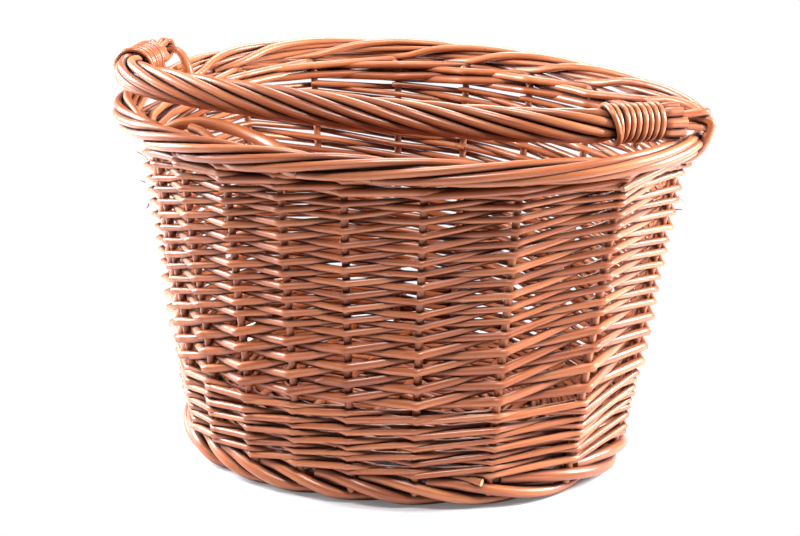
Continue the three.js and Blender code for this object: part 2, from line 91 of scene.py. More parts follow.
# The plan of the basket
# An egg-shaped oval that widens from foot to rim, with nineteen stakes round it. A
# place on the wall is a share of the way round from the right end, an offset outwards
# from the wall's middle, and a height.
RIM_HALF = (203.0, 159.0)
BASE_HALF = (161.0, 132.0)
RIM_HEIGHT = 267.0
OVAL_POWER = 2.13
OVAL_STEPS = 721
EGG = 0.043
BASE_SHIFT = (3.0, -15.0)
STAKE_SHARES = (
    0.01, 0.059, 0.107, 0.157, 0.2115, 0.2635, 0.316, 0.378, 0.434, 0.48,
    0.567, 0.627, 0.6585, 0.6955, 0.734, 0.7745, 0.8225, 0.878, 0.943,
)
STAKES = len(STAKE_SHARES)
STAKE_RADIUS = 3.0


def oval(half, shift):
    """One turn of the oval: shares, then columns of x, y and the outward direction."""
    angle = np.linspace(0, 2 * np.pi, OVAL_STEPS)
    c, s = np.cos(angle), np.sin(angle)
    r = (abs(c) ** OVAL_POWER + abs(s) ** OVAL_POWER) ** (-1 / OVAL_POWER)
    r = r * (1 + EGG * np.cos(3 * angle))
    x = half[0] * r * c + shift[0] - EGG * RIM_HALF[0]
    y = half[1] * r * s + shift[1]
    step = np.hypot(np.diff(x), np.diff(y))
    share = np.concatenate([[0], np.cumsum(step)]) / step.sum()
    dx, dy = np.gradient(x, share), np.gradient(y, share)
    dx[0] = dx[-1] = (dx[0] + dx[-1]) / 2
    dy[0] = dy[-1] = (dy[0] + dy[-1]) / 2
    size = np.hypot(dx, dy)
    return share, np.stack([x, y, dy / size, -dx / size])


FOOT_OVAL = oval(BASE_HALF, BASE_SHIFT)
RIM_OVAL = oval(RIM_HALF, (0.0, 0.0))


def wall(share, offset, height):
    """Points of the wall for arrays of shares, offsets and heights."""
    share, offset, height = np.broadcast_arrays(
        *(np.asarray(a, float) for a in (share, offset, height))
    )
    low, high = (
        np.stack([np.interp(share % 1, shares, column) for column in columns], -1)
        for shares, columns in (FOOT_OVAL, RIM_OVAL)
    )
    mixed = low + (high - low) * (height / RIM_HEIGHT)[..., None]
    flat = mixed[..., :2] + mixed[..., 2:] * offset[..., None]
    return np.concatenate([flat, height[..., None]], -1)


def stake_share(number):
    """The share of the way round of a stake's number, or of a place between stakes."""
    number = np.asarray(number, float)
    known = np.append(STAKE_SHARES, STAKE_SHARES[0] + 1)
    return np.interp(number % STAKES, np.arange(STAKES + 1), known) + number // STAKES


# Peeled willow
# Buff willow: rods boiled in their bark and peeled, which stains them warm brown. The
# skin is smooth and a little glossy, with faint streaks, paler and redder stretches
# and small dark scars where buds sat. Between rods a dark red-brown is painted shade.
WILLOW_TONES = ((0.12, "#702C12"), (0.45, "#AE5F34"), (0.85, "#D28C5E"))
STREAK_DETAIL, STREAK_HARSHNESS = 4.0, 0.6
STREAK_RANGE = (0.3, 0.7)
STREAK_LENGTH = 45.0
# Real streaks are finer than a pixel, which covers 0.76 mm, so they are drawn coarser.
STREAK_WIDTH = 0.9
BLOTCH_LENGTH = 70.0
BLOTCH_SCALE = 1.3
SCAR_BROWN = "#4A2312"
SCAR_SPACING = 34.0
SCAR_SQUEEZE = 0.35
SCAR_SIZE = (0.03, 0.075)
SCAR_STRENGTH = 0.75
TONE_SHIFT = 61.0
STREAK_PART, BLOTCH_PART, TONE_PART = 0.45, 0.6, 0.22
DARKER = -0.19
# Painted shade: where other rods lie within reach, the colour is mixed towards this dark red-brown
# and the skin is made rough.
PAINTED_SHADE_BROWN = "#340A02"
CREVICE_REACH = 6.0
CREVICE_OPEN = (0.38, 0.97)
CREVICE_ROUGHNESS = 0.95
STREAK_ROUGHNESS = (-0.06, 0.12)
STREAK_BUMP = 0.12
ROD_ROUGHNESS, STAKE_ROUGHNESS = 0.36, 0.4
# How much of the painted shade between rods the rods and the stakes get.
ROD_PAINTED_SHADE, STAKE_PAINTED_SHADE = 1.0, 0.35
COAT, COAT_ROUGHNESS = 0.3, 0.22
CUT_TONES = ((0.3, "#A97449"), (0.7, "#D9AE86"))
# The grain of a cut end is finer than a pixel too, and is drawn 1.1 mm wide.
CUT_GRAIN_PER_METRE = 900.0
CUT_ROUGHNESS = 0.7


def linear(colour):
    """An sRGB hex colour as linear RGBA."""
    parts = [int(colour[i:i + 2], 16) / 255 for i in (1, 3, 5)]
    return [p / 12.92 if p <= 0.04045 else ((p + 0.055) / 1.055) ** 2.4 for p in parts] + [1.0]


def add(tree, kind, settings, inputs):
    """Adds a node with its settings; an input is a value or the socket that feeds it."""
    made = tree.nodes.new(kind)
    for name, value in settings.items():
        setattr(made, name, value)
    for name, value in inputs.items():
        if isinstance(value, bpy.types.NodeSocket):
            tree.links.new(value, made.inputs[name])
        else:
            made.inputs[name].default_value = value
    return made


def peeled_willow(name, roughness, shade_strength):
    """Willow skin that follows each rod by the attributes that its mesh carries; where rods lie
    close it is painted darker as painted shade.
    """
    material = bpy.data.materials.new(name)
    material.use_nodes = True
    tree = material.node_tree
    tree.nodes.clear()
    along, tone, ring = (
        add(tree, "ShaderNodeAttribute", {"attribute_name": carried}, {}).outputs[output]
        for carried, output in (("rod_along", "Fac"), ("rod_tone", "Fac"), ("rod_round", "Vector"))
    )
    ring = add(tree, "ShaderNodeSeparateXYZ", {}, {0: ring}).outputs
    shift = add(tree, "ShaderNodeMath", {"operation": "MULTIPLY"}, {
        0: tone, 1: TONE_SHIFT,
    }).outputs[0]
    places = []
    for length, squeeze in (
        (STREAK_LENGTH, STAKE_RADIUS / STREAK_WIDTH),
        (BLOTCH_LENGTH, 1.0),
        (SCAR_SPACING, SCAR_SQUEEZE),
    ):
        onward = add(tree, "ShaderNodeMath", {"operation": "MULTIPLY_ADD"}, {
            0: along, 1: 1 / (length * MM), 2: shift,
        }).outputs[0]
        across, up = (
            add(tree, "ShaderNodeMath", {"operation": "MULTIPLY"}, {
                0: ring[k], 1: squeeze,
            }).outputs[0]
            for k in (0, 1)
        )
        places.append(
            add(tree, "ShaderNodeCombineXYZ", {}, {0: onward, 1: across, 2: up}).outputs[0]
        )
    streaks = add(tree, "ShaderNodeTexNoise", {}, {
        "Vector": places[0], "Scale": 1.0, "Detail": STREAK_DETAIL,
        "Roughness": STREAK_HARSHNESS,
    }).outputs["Fac"]
    blotches = add(tree, "ShaderNodeTexNoise", {}, {
        "Vector": places[1], "Scale": BLOTCH_SCALE, "Detail": 2.0,
    }).outputs["Fac"]
    scars = add(tree, "ShaderNodeTexVoronoi", {}, {
        "Vector": places[2], "Scale": 1.0,
    }).outputs["Distance"]
    mixed = DARKER
    for pattern, part in ((streaks, STREAK_PART), (blotches, BLOTCH_PART), (tone, TONE_PART)):
        mixed = add(tree, "ShaderNodeMath", {"operation": "MULTIPLY_ADD"}, {
            0: pattern, 1: part, 2: mixed,
        }).outputs[0]
    ramp = add(tree, "ShaderNodeValToRGB", {}, {"Fac": mixed})
    ramp.color_ramp.elements.new(0.5)
    for stop, (position, hex_colour) in zip(ramp.color_ramp.elements, WILLOW_TONES):
        stop.position = position
        stop.color = linear(hex_colour)
    scar = add(tree, "ShaderNodeMapRange", {}, {
        "Value": scars, "From Min": SCAR_SIZE[0], "From Max": SCAR_SIZE[1],
        "To Min": SCAR_STRENGTH, "To Max": 0.0,
    }).outputs[0]
    colour = add(tree, "ShaderNodeMix", {"data_type": "RGBA"}, {
        0: scar, 6: ramp.outputs[0], 7: linear(SCAR_BROWN),
    }).outputs[2]
    # Painted shade: ambient occlusion mixes the colour towards a dark red-brown where rods lie
    # close, and raises the roughness there.
    crevice = add(tree, "ShaderNodeAmbientOcclusion", {"samples": 5}, {
        "Distance": CREVICE_REACH * MM,
    }).outputs["AO"]
    open_air = add(tree, "ShaderNodeMapRange", {}, {
        "Value": crevice, "From Min": CREVICE_OPEN[0], "From Max": CREVICE_OPEN[1],
        "To Min": 1.0 - shade_strength, "To Max": 1.0,
    }).outputs[0]
    colour = add(tree, "ShaderNodeMix", {"data_type": "RGBA"}, {
        0: open_air, 6: linear(PAINTED_SHADE_BROWN), 7: colour,
    }).outputs[2]
    shine = add(tree, "ShaderNodeMapRange", {}, {
        "Value": streaks, "From Min": STREAK_RANGE[0], "From Max": STREAK_RANGE[1],
        "To Min": roughness + STREAK_ROUGHNESS[0], "To Max": roughness + STREAK_ROUGHNESS[1],
    }).outputs[0]
    shine = add(tree, "ShaderNodeMix", {"data_type": "FLOAT"}, {
        0: open_air, 2: CREVICE_ROUGHNESS, 3: shine,
    }).outputs[0]
    bump = add(tree, "ShaderNodeBump", {}, {
        "Strength": 0.5, "Distance": STREAK_BUMP * MM, "Height": streaks,
    }).outputs[0]
    skin = add(tree, "ShaderNodeBsdfPrincipled", {}, {
        "Base Color": colour, "Roughness": shine, "Normal": bump,
        "Specular IOR Level": 0.5, "Coat Weight": COAT, "Coat Roughness": COAT_ROUGHNESS,
    })
    add(tree, "ShaderNodeOutputMaterial", {}, {"Surface": skin.outputs[0]})
    return material


def cut_willow():
    """The sawn or sliced end of a rod: pale bare wood with a fine grain and no gloss."""
    material = bpy.data.materials.new("cut willow end")
    material.use_nodes = True
    tree = material.node_tree
    skin = tree.nodes["Principled BSDF"]
    place = add(tree, "ShaderNodeTexCoord", {}, {}).outputs["Object"]
    grain = add(tree, "ShaderNodeTexNoise", {}, {
        "Vector": place, "Scale": CUT_GRAIN_PER_METRE, "Detail": 3.0,
    }).outputs["Fac"]
    ramp = add(tree, "ShaderNodeValToRGB", {}, {"Fac": grain})
    for stop, (position, hex_colour) in zip(ramp.color_ramp.elements, CUT_TONES):
        stop.position = position
        stop.color = linear(hex_colour)
    tree.links.new(ramp.outputs[0], skin.inputs["Base Color"])
    skin.inputs["Roughness"].default_value = CUT_ROUGHNESS
    return material


ROD_SKIN = peeled_willow("buff willow rods", ROD_ROUGHNESS, ROD_PAINTED_SHADE)
STAKE_SKIN = peeled_willow("buff willow stakes", STAKE_ROUGHNESS, STAKE_PAINTED_SHADE)
CUT_END = cut_willow()

# How a rod gets its body
# A path becomes a round rod with its own thickness, a slightly uneven skin and flat
# cut ends. The tree is shared by every bundle of rods in the basket.
LUMPS_PER_METRE = 90.0
SKIN_FACE_CORNERS = 4
chance = np.random.default_rng(7)


def rod_tree():
    """Geometry nodes: edges with rod_radius and rod_tone become finished rods."""
    tree = bpy.data.node_groups.new("willow rods", "GeometryNodeTree")
    sockets = (
        ("Geometry", "INPUT", "NodeSocketGeometry"),
        ("Sides", "INPUT", "NodeSocketInt"),
        ("Unevenness", "INPUT", "NodeSocketFloat"),
        ("Unevenness size", "INPUT", "NodeSocketFloat"),
        ("Seed", "INPUT", "NodeSocketFloat"),
        ("Skin", "INPUT", "NodeSocketMaterial"),
        ("Cut end", "INPUT", "NodeSocketMaterial"),
        ("Geometry", "OUTPUT", "NodeSocketGeometry"),
    )
    for name, way, kind in sockets:
        tree.interface.new_socket(name, in_out=way, socket_type=kind)
    given = tree.nodes.new("NodeGroupInput").outputs
    paths = add(tree, "GeometryNodeMeshToCurve", {}, {"Mesh": given["Geometry"]}).outputs[0]
    radius = add(tree, "GeometryNodeInputNamedAttribute", {"data_type": "FLOAT"}, {
        "Name": "rod_radius",
    }).outputs["Attribute"]
    travelled = add(tree, "GeometryNodeSplineParameter", {}, {}).outputs["Length"]
    on_points = {"data_type": "FLOAT", "domain": "POINT"}
    paths = add(tree, "GeometryNodeStoreNamedAttribute", on_points, {
        "Geometry": paths, "Name": "rod_along", "Value": travelled,
    }).outputs[0]
    ring = add(tree, "GeometryNodeCurvePrimitiveCircle", {}, {
        "Resolution": given["Sides"], "Radius": 1.0,
    }).outputs["Curve"]
    place = add(tree, "GeometryNodeInputPosition", {}, {}).outputs[0]
    on_points = {"data_type": "FLOAT_VECTOR", "domain": "POINT"}
    ring = add(tree, "GeometryNodeStoreNamedAttribute", on_points, {
        "Geometry": ring, "Name": "rod_round", "Value": place,
    }).outputs[0]
    body = add(tree, "GeometryNodeCurveToMesh", {}, {
        "Curve": paths, "Profile Curve": ring, "Scale": radius, "Fill Caps": True,
    }).outputs[0]
    seed_way = add(tree, "ShaderNodeCombineXYZ", {}, {0: given["Seed"]}).outputs[0]
    moved = add(tree, "ShaderNodeVectorMath", {"operation": "ADD"}, {
        0: place, 1: seed_way,
    }).outputs[0]
    lumps = add(tree, "ShaderNodeTexNoise", {}, {
        "Vector": moved, "Scale": given["Unevenness size"], "Detail": 2.0,
    }).outputs["Fac"]
    for operation, value in (("SUBTRACT", 0.5), ("MULTIPLY", given["Unevenness"])):
        lumps = add(tree, "ShaderNodeMath", {"operation": operation}, {
            0: lumps, 1: value,
        }).outputs[0]
    normal = add(tree, "GeometryNodeInputNormal", {}, {}).outputs[0]
    push = add(tree, "ShaderNodeVectorMath", {"operation": "SCALE"}, {
        0: normal, "Scale": lumps,
    }).outputs[0]
    body = add(tree, "GeometryNodeSetPosition", {}, {"Geometry": body, "Offset": push}).outputs[0]
    corners = add(tree, "GeometryNodeInputMeshFaceNeighbors", {}, {}).outputs["Vertex Count"]
    more = {"data_type": "INT", "operation": "GREATER_THAN"}
    is_cut = add(tree, "FunctionNodeCompare", more, {
        2: corners, 3: SKIN_FACE_CORNERS,
    }).outputs[0]
    is_skin = add(tree, "FunctionNodeBooleanMath", {"operation": "NOT"}, {0: is_cut}).outputs[0]
    body = add(tree, "GeometryNodeSetShadeSmooth", {}, {
        "Geometry": body, "Shade Smooth": is_skin,
    }).outputs[0]
    body = add(tree, "GeometryNodeRealizeInstances", {}, {"Geometry": body}).outputs[0]
    body = add(tree, "GeometryNodeSetMaterial", {}, {
        "Geometry": body, "Material": given["Skin"],
    }).outputs[0]
    body = add(tree, "GeometryNodeSetMaterial", {}, {
        "Geometry": body, "Selection": is_cut, "Material": given["Cut end"],
    }).outputs[0]
    add(tree, "NodeGroupOutput", {}, {"Geometry": body})
    return tree


ROD_TREE = rod_tree()
ROD_INPUTS = {item.name: item.identifier for item in ROD_TREE.interface.items_tree
              if item.in_out == "INPUT"}


def lay_rods(name, rods, body, skin, replaced, sides, unevenness, seed):
    """Turns paths, each points with radii, into one piece of rods that rides a body."""
    points = np.concatenate([path for path, _ in rods]) * MM
    radii = np.concatenate([np.broadcast_to(r, len(path)) for path, r in rods]) * MM
    tones = np.concatenate([np.full(len(path), chance.random()) for path, _ in rods])
    edges, start = [], 0
    for path, _ in rods:
        ends = np.arange(start, start + len(path) - 1)
        edges.append(np.stack([ends, ends + 1], 1))
        start += len(path)
    lines = bpy.data.meshes.new(name + "_paths")
    lines.from_pydata(points.tolist(), np.concatenate(edges).tolist(), [])
    lines.attributes.new("rod_radius", "FLOAT", "POINT").data.foreach_set("value", radii)
    lines.attributes.new("rod_tone", "FLOAT", "POINT").data.foreach_set("value", tones)
    holder = bpy.data.objects.new(name + "_paths", lines)
    bpy.context.scene.collection.objects.link(holder)
    growth = holder.modifiers.new("willow rods", "NODES")
    growth.node_group = ROD_TREE
    growth[ROD_INPUTS["Sides"]] = sides
    growth[ROD_INPUTS["Unevenness"]] = unevenness * MM
    growth[ROD_INPUTS["Unevenness size"]] = LUMPS_PER_METRE
    growth[ROD_INPUTS["Seed"]] = float(seed)
    growth[ROD_INPUTS["Skin"]] = skin
    growth[ROD_INPUTS["Cut end"]] = CUT_END
    graph = bpy.context.evaluated_depsgraph_get()
    mesh = bpy.data.meshes.new_from_object(holder.evaluated_get(graph), depsgraph=graph)
    mesh.name = name
    bpy.data.objects.remove(holder)
    piece = bpy.data.objects.new(name, mesh)
    bpy.context.scene.collection.objects.link(piece)
    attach(piece, body)
    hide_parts(*replaced)


# Stakes
# Nineteen upright rods carry the weave. Each is pushed in beside the base and runs
# up through the foot, the wales and the side weave to the border.
STAKE_FOOT = 8.0
STAKE_TOP = 246.0
STAKE_TAPER = (1.05, 0.93)
STAKE_STEPS = 40
STAKE_SWAY = 0.35
STAKE_SWAY_LENGTH = 31.0
STAKE_SWAY_SHIFT = 1.7
stakes = []
for number in range(STAKES):
    height = np.linspace(STAKE_FOOT, STAKE_TOP, STAKE_STEPS)
    lean = STAKE_SWAY * np.sin(height / STAKE_SWAY_LENGTH + number * STAKE_SWAY_SHIFT)
    path = wall(stake_share(number), lean, height)
    stakes.append((path, np.linspace(*STAKE_TAPER, STAKE_STEPS) * STAKE_RADIUS))
lay_rods(
    "stakes", stakes, "basket", STAKE_SKIN,
    [f"stake_{i + 1:02d}" for i in range(STAKES)], sides=10, unevenness=0.25, seed=1,
)

# Side weave
# Nineteen rods, one started behind each stake with its thick end, are worked all at
# once: each goes in front of one stake and behind the next and climbs by one round from
# stake to stake, so every stroke rises to the right. Each is pieced once behind a stake.
WEAVE_LOW = 73.4
WEAVE_TOP = 233.0
ROUND_HEIGHTS = (6.3, 4.72)
THICK_ROUNDS_TO = (118.0, 136.0)
LAST_ROUND_ROOM = 1.4
WEAVER_THICKNESS = 1.04
WEAVER_TAPER = (1.06, 0.95)
WEAVER_TAIL = 4.0
WEAVER_SIZE_STRAYS = 0.03
WEAVER_LEVEL_STRAYS = 0.4
PIECED_AFTER_PAIRS = (5, 11)
OUTSIDE_SINKS = 0.8
ROD_CLEARANCE = 0.3
# A bend round a stake, and the sway of a rod between bends.
BEND_REACH = 3.2
BEND_CUT = 0.75
STROKE_STEPS = 6
TIP = 0.6
SWAY_STEP = 0.09
MOST_SWAY = 0.5
# Where the rounds have crept up or down: by how much, how wide, and at which heights.
UNEVEN = 2.2
SLOW_WAVE, SLOW_WAVES, SLOW_START = 0.4, 3, 1.1
QUICK_WAVE, QUICK_WAVES, QUICK_CLIMB = 0.35, 5, 37.0
CROWDED_SPOT = (0.885, 0.035, 3.4)
LIFTED_SPOTS = ((0.943, 0.026, 9.0), (1.012, 0.03, -3.0), (0.445, 0.05, 8.0), (0.315, 0.05, -6.0))
LOOSE_SPOT = (0.43, 0.07, 3.0)
UNEVEN_FROM = (24.0, 60.0)
LIFTED_FROM = (66.0, 118.0)
LOOSE_FROM = (80.0, 130.0)
LOOSE_PARTS_AT = (140.0, 200.0)
LEVEL_AGAIN = (195.0, 240.0)
# Thin splinters that stand off the skin here and there.
SPLINTERS = 30
SPLINTER_RADII = (0.55, 0.2)
SPLINTER_STEPS = 6
SPLINTER_SHARE = 0.011
SPLINTER_RISE = 5.0
SPLINTER_LIFT = (2.0, 5.0)
SPLINTER_FOOT = 6.6
SPLINTER_HEIGHTS = (34.0, 236.0)


def eased(value, low, high):
    """0 before low, 1 after high, and smooth between them."""
    t = np.clip((value - low) / (high - low), 0, 1)
    return t * t * (3 - 2 * t)


def round_height(height):
    """How far apart the rounds of the side weave lie at a height."""
    part = eased(height, *THICK_ROUNDS_TO)
    return ROUND_HEIGHTS[0] + (ROUND_HEIGHTS[1] - ROUND_HEIGHTS[0]) * part


def spot(share, centre, width, rise):
    """A rise that fades to both sides of a share."""
    return rise * np.exp(-(((share - centre + 0.5) % 1 - 0.5) / width) ** 2)


def settled(share, height):
    """How far the weave has crept up or down here from level."""
    place = share * 2 * np.pi
    wave = SLOW_WAVE * np.sin(SLOW_WAVES * place + SLOW_START) \
        + QUICK_WAVE * np.sin(QUICK_WAVES * place + height / QUICK_CLIMB)
    below_border = 1 - eased(height, *LEVEL_AGAIN)
    low = (UNEVEN * wave + spot(share, *CROWDED_SPOT)) * eased(height, *UNEVEN_FROM) * below_border
    high = sum(spot(share, *lifted) for lifted in LIFTED_SPOTS)
    parted = 2 * eased(height, *LOOSE_PARTS_AT) - 1
    loose = spot(share, *LOOSE_SPOT) * parted * eased(height, *LOOSE_FROM)
    return low + (high * eased(height, *LIFTED_FROM) + loose) * below_border


def worked_rod(numbers, offsets, heights, radii, tails):
    """A rod from stake to stake, straight between them and bent sharply round each."""
    places, rows = [], []
    for k in range(len(numbers)):
        share = float(stake_share(numbers[k]))
        for side in (-1, 0, 1):
            if (k == 0 and side < 0) or (k == len(numbers) - 1 and side > 0):
                continue
            cut_corner = BEND_CUT * np.sign(offsets[k]) if side else 0.0
            at = wall(share, offsets[k] - cut_corner, heights[k])
            if side:
                other = k + side
                towards = wall(float(stake_share(numbers[other])), offsets[other], heights[other])
                way = towards - at
                at = at + way / np.linalg.norm(way) * BEND_REACH
            places.append(at)
            rows.append(radii[k])
    places, rows = np.array(places), np.array(rows)
    for end, beside in ((0, 1), (-1, -2)):
        way = places[end] - places[beside]
        tail = places[end] + way / np.linalg.norm(way) * tails
        after = 0 if end == 0 else len(places)
        places = np.insert(places, after, tail, 0)
        rows = np.insert(rows, after, TIP * rows[end])
    path, thick = [], []
    for a, b, ra, rb in zip(places[:-1], places[1:], rows[:-1], rows[1:]):
        steps = STROKE_STEPS if np.linalg.norm(b - a) > 3 * BEND_REACH else 1
        part = np.arange(steps) / steps
        path.append(a + (b - a) * part[:, None])
        thick.append(ra + (rb - ra) * part)
    path = np.concatenate(path + [places[-1:]])
    thick = np.concatenate(thick + [rows[-1:]])
    sway = np.cumsum(chance.normal(0, SWAY_STEP, path.shape), 0)
    sway -= np.linspace(sway[0], sway[-1], len(sway))
    return path + np.clip(sway, -MOST_SWAY, MOST_SWAY), thick


heights = [WEAVE_LOW + round_height(WEAVE_LOW) / 2]
while heights[-1] + round_height(heights[-1]) * LAST_ROUND_ROOM < WEAVE_TOP:
    heights.append(heights[-1] + round_height(heights[-1]))
# With an odd number of rounds every rod starts and ends behind a stake.
if len(heights) % 2 == 0:
    heights.append(heights[-1] + round_height(heights[-1]) / 2)
heights = np.array(heights)
weavers = []
for first in range(STAKES):
    pieced = 2 * int(chance.integers(*PIECED_AFTER_PAIRS))
    for begin, end in ((0, pieced), (pieced, len(heights) - 1)):
        rounds = np.arange(begin, end + 1)
        number = first + rounds
        taper = np.linspace(*WEAVER_TAPER, len(rounds)) * chance.normal(1, WEAVER_SIZE_STRAYS)
        radius = round_height(heights[rounds]) / 2 * WEAVER_THICKNESS * taper
        outside = np.where(rounds % 2 == 1, 1, -1)
        level = heights[rounds] + settled(stake_share(number), heights[rounds])
        strays = chance.normal(0, WEAVER_LEVEL_STRAYS, len(rounds))
        level = level - outside * OUTSIDE_SINKS + strays
        offsets = outside * (STAKE_RADIUS + radius + ROD_CLEARANCE)
        weavers.append(worked_rod(number, offsets, level, radius, WEAVER_TAIL))
part = np.linspace(0, 1, SPLINTER_STEPS)
for _ in range(SPLINTERS):
    along = chance.uniform(-SPLINTER_SHARE, SPLINTER_SHARE) * part
    up = chance.uniform(-SPLINTER_RISE, SPLINTER_RISE) * part
    out = SPLINTER_FOOT + chance.uniform(*SPLINTER_LIFT) * part ** 2
    share, height = chance.uniform(0, 1), chance.uniform(*SPLINTER_HEIGHTS)
    path = wall(share + along, out, height + up)
    weavers.append((path, np.linspace(*SPLINTER_RADII, SPLINTER_STEPS)))
lay_rods(
    "side_weave_rods", weavers, "basket", ROD_SKIN, ["side_weave"],
    sides=9, unevenness=0.5, seed=2,
)

# Wales
# Three rods worked together: each goes in front of two stakes and behind the third,
# and rises over the two beside it. Five rounds start the wall and two thicker ones end
# it, the last of them pressed up against the border.
LOWER_WALE = (22.8, 74.0)
UPPER_WALE = (232.0, 249.5)
LOWER_WALER_RADIUS = 2.45
UPPER_WALER_RADIUS = 2.9
LOWER_FIRST_STAKE = 5
UPPER_FIRST_STAKE = 18
WALER_TAPER = (1.12, 0.9)
WALER_TAIL = 7.0
WALER_SIZE_STRAYS = 0.05
WALER_LEVEL_STRAYS = 1.0
WALER_SIDES = (1, 1, -1)
WALER_LEVELS = (-0.26, 0.2, 0.02)


def waled_rounds(low, high, rounds, radius, first_stake):
    """The rods of a wale between two heights, worked round from a stake."""
    laid = []
    spacing = (high - low) / rounds
    for round_number in range(rounds):
        for rod in range(3):
            number = first_stake + rod + np.arange(STAKES + 2)
            phase = (number + round_number - rod) % 3
            taper = np.linspace(*WALER_TAPER, len(number)) * chance.normal(1, WALER_SIZE_STRAYS)
            radii = radius * taper
            offsets = np.choose(phase, WALER_SIDES) * (STAKE_RADIUS + radii + ROD_CLEARANCE)
            level = low + (round_number + 0.5) * spacing
            level = level + np.choose(phase, WALER_LEVELS) * spacing
            strays = chance.normal(0, WALER_LEVEL_STRAYS, len(number))
            level = level + settled(stake_share(number), level) + strays
            laid.append(worked_rod(number, offsets, level, radii, WALER_TAIL))
    return laid


lay_rods(
    "lower_wale_rods",
    waled_rounds(*LOWER_WALE, 5, LOWER_WALER_RADIUS, LOWER_FIRST_STAKE),
    "basket", ROD_SKIN, ["lower_wale"], sides=10, unevenness=0.5, seed=3,
)
lay_rods(
    "upper_wale_rods",
    waled_rounds(*UPPER_WALE, 2, UPPER_WALER_RADIUS, UPPER_FIRST_STAKE),
    "basket", ROD_SKIN, ["upper_wale"], sides=10, unevenness=0.5, seed=4,
)

# Top border
# The stakes' long ends, bent over to the right and rolled round each other: each runs
# from under the border's outside over its top and ends, cut off, inside. At the front
# left a thicker rod sags inwards in a hook, with a cut stub beside it.
BORDER_HEIGHT = 253.6
BORDER_OFFSET = 10.3
BORDER_HALF = (10.7, 10.0)
THINNER_AT_RIGHT = 1.3
BORDER_ROD_RADIUS = 3.25
BORDER_ROD_TAPER = (1.0, 0.88)
BORDER_ROD_STEPS = 84
BORDER_TURNS = np.array([-75, -45, -18, 8, 34, 62, 94, 136, 200, 275])
BORDER_STAKES = (0.42, 4.4)
BENT_OVER_STAKES = (0.0, 0.06)
BENT_OVER_OFFSETS = (0.0, 2.5)
BENT_OVER_HEIGHTS = (STAKE_TOP - 6, STAKE_TOP - 1)
TURN_STRAYS = 7
BORDER_SIZE_STRAYS = 0.05
FILLER_ANGLES = (0.6, 2.7, 4.8)
FILLER_TWIST = 19
FILLER_HALF = (2.6, 2.4)
FILLER_RADIUS = 2.6
ROUND_STEPS = 200
HOOKED_ROD = (
    (0.648, 3.0, 257.0), (0.656, -5.0, 261.8), (0.669, -15.0, 263.6), (0.69, -20.5, 261.4),
    (0.71, -18.0, 259.0), (0.728, -9.5, 257.2), (0.747, -1.0, 252.5),
)
HOOKED_ROD_RADIUS = 4.4
CUT_STUB = ((0.668, -2.0, 262.6), (0.676, -3.0, 261.4), (0.684, -2.0, 258.4), (0.694, 0.5, 254.0))
CUT_STUB_RADIUS = 3.2
SINGLE_ROD_STEPS = 60


def smooth_path(points, steps):
    """A smooth path through points, which Catmull and Rom's rule rounds between them."""
    points = np.asarray(points, float)
    ends = np.concatenate([[2 * points[0] - points[1]], points, [2 * points[-1] - points[-2]]])
    place = np.linspace(0, len(points) - 1, steps)
    index = np.minimum(place.astype(int), len(points) - 2)
    t = (place - index)[:, None]
    a, b, c, d = (ends[index + k] for k in range(4))
    return 0.5 * (2 * b + (c - a) * t + (2 * a - 5 * b + 4 * c - d) * t ** 2
                  + (3 * b - a - 3 * c + d) * t ** 3)


def thinner_at(share):
    """How much thinner the border is near the right end."""
    return THINNER_AT_RIGHT * np.maximum(0, np.cos(share * 2 * np.pi)) ** 2


border_rods = []
for number in range(STAKES):
    radius = BORDER_ROD_RADIUS * chance.normal(1, BORDER_SIZE_STRAYS)
    turn = np.radians(BORDER_TURNS + chance.normal(0, TURN_STRAYS))
    share = stake_share(number + np.linspace(*BORDER_STAKES, len(turn)))
    thin = thinner_at(share)
    inset = thin + radius
    across = BORDER_OFFSET + thin + (BORDER_HALF[0] - inset) * np.cos(turn)
    height = BORDER_HEIGHT - thin + (BORDER_HALF[1] - inset) * np.sin(turn)
    share = np.concatenate([stake_share(number + np.array(BENT_OVER_STAKES)), share])
    across = np.concatenate([BENT_OVER_OFFSETS, across])
    height = np.concatenate([BENT_OVER_HEIGHTS, height])
    path = wall(*smooth_path(np.stack([share, across, height], 1), BORDER_ROD_STEPS).T)
    border_rods.append((path, np.linspace(*BORDER_ROD_TAPER, len(path)) * radius))
for angle in FILLER_ANGLES:
    share = np.linspace(0, 1, ROUND_STEPS)
    twist = angle + share * FILLER_TWIST
    across = BORDER_OFFSET + thinner_at(share) + FILLER_HALF[0] * np.cos(twist)
    height = BORDER_HEIGHT - thinner_at(share) + FILLER_HALF[1] * np.sin(twist)
    border_rods.append((wall(share, across, height), np.full(ROUND_STEPS, FILLER_RADIUS)))
for places, radius in ((HOOKED_ROD, HOOKED_ROD_RADIUS), (CUT_STUB, CUT_STUB_RADIUS)):
    path = wall(*smooth_path(places, SINGLE_ROD_STEPS).T)
    border_rods.append((path, np.full(SINGLE_ROD_STEPS, radius)))
lay_rods(
    "top_border_rods", border_rods, "basket", ROD_SKIN, ["top_border"],
    sides=12, unevenness=0.5, seed=5,
)

